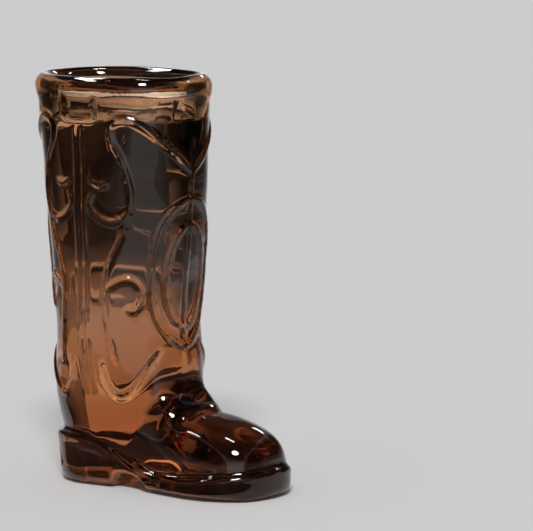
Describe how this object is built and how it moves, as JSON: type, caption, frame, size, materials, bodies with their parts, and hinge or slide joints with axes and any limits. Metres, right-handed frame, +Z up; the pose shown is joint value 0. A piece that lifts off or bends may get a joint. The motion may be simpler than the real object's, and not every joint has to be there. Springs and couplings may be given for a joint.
{
  "type": "boot shot glass",
  "caption": "Shot glass in the shape of a western boot, pressed in amber-brown glass, with an open cup in the leg, raised stitch scrolls and a solid foot.",
  "frame": {"origin": "on the table, under the middle of the boot's length and width", "axes": "+Z up through the open leg, +X towards the toe, +Y across the boot"},
  "size_m": [0.062, 0.0316, 0.089],
  "materials": {
    "amber_glass": "clear amber-brown pressed glass, fire polished"
  },
  "bodies": {
    "root": {"lip": "amber_glass", "leg": "amber_glass", "foot": "amber_glass", "sole": "amber_glass", "heel": "amber_glass"}
  },
  "joints": []
}
